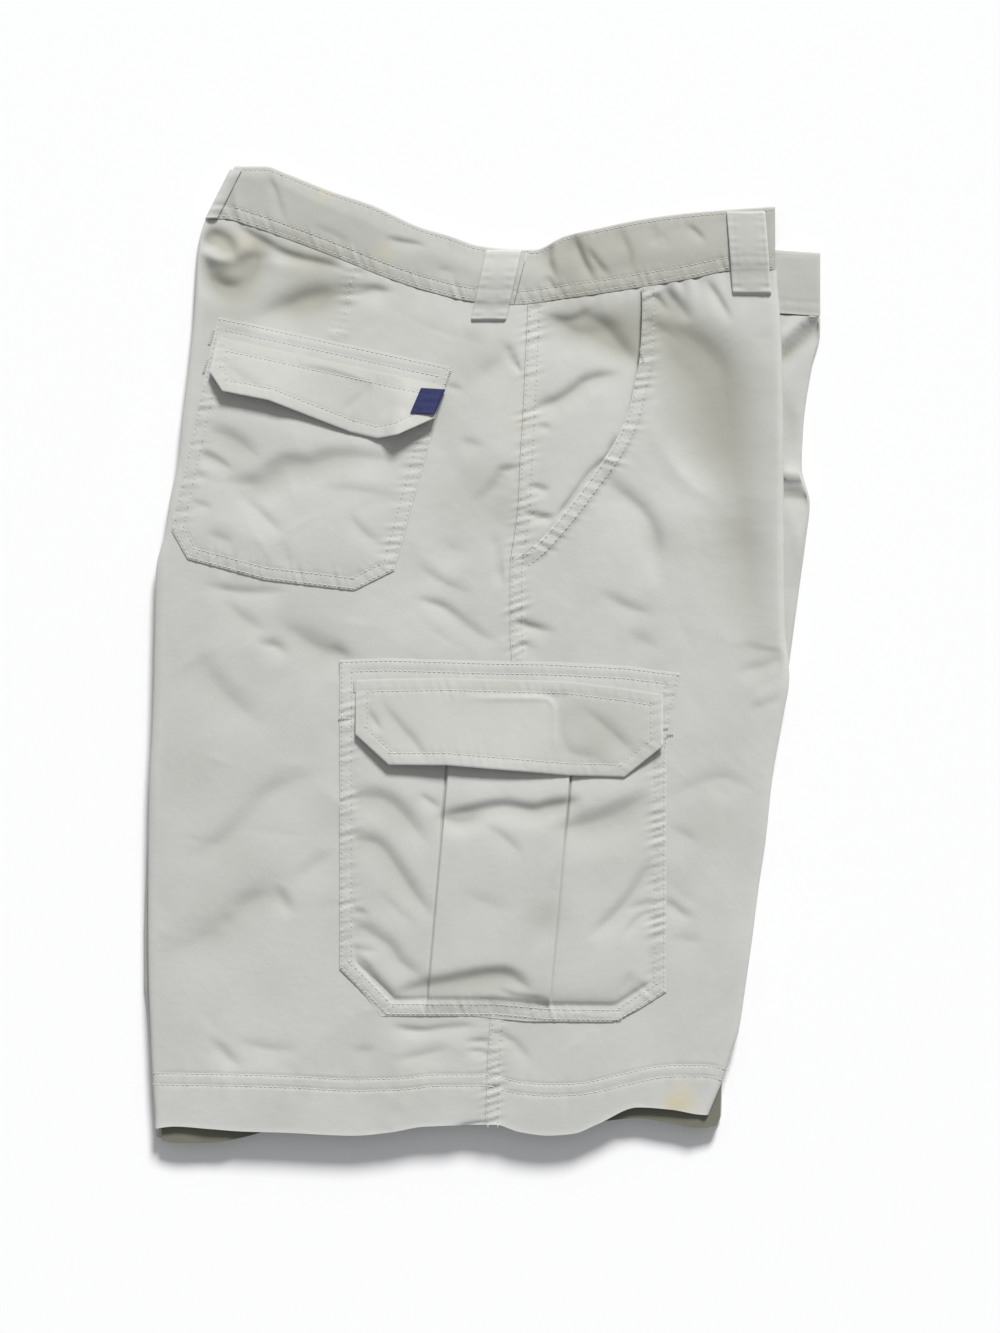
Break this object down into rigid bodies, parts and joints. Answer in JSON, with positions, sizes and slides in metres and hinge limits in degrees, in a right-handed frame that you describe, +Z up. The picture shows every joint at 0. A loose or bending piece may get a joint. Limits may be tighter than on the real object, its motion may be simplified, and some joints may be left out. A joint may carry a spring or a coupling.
{
  "type": "cargo shorts",
  "caption": "Cotton twill cargo shorts folded in half lengthwise and laid flat, with a flapped seat pocket, a curved front pocket and a large box-pleated leg pocket.",
  "frame": {"origin": "on the surface that the shorts lie on, under the middle of their outline", "axes": "+Y towards the waist, +X towards the front of the shorts, +Z up from the surface, out of the upper half"},
  "size_m": [0.432, 0.6234, 0.0261],
  "materials": {
    "cloth": "matt stone cotton twill, washed",
    "inner_cloth": "wrong side of the same twill, matt",
    "tab_tape": "navy woven tape",
    "thread": "stone sewing thread, slightly lighter than the cloth"
  },
  "bodies": {
    "root": {"under_half": "inner_cloth", "waistband_under": "inner_cloth", "back_panel": "cloth", "front_panel": "cloth", "front_pocket_facing": "cloth", "waistband_back": "cloth", "waistband_front": "cloth", "belt_loop_side": "cloth", "belt_loop_front": "cloth", "belt_loop_back": "cloth", "back_pocket": "cloth", "back_flap": "cloth", "tab_label": "tab_tape", "cargo_pocket": "cloth", "cargo_flap": "cloth"}
  },
  "joints": []
}
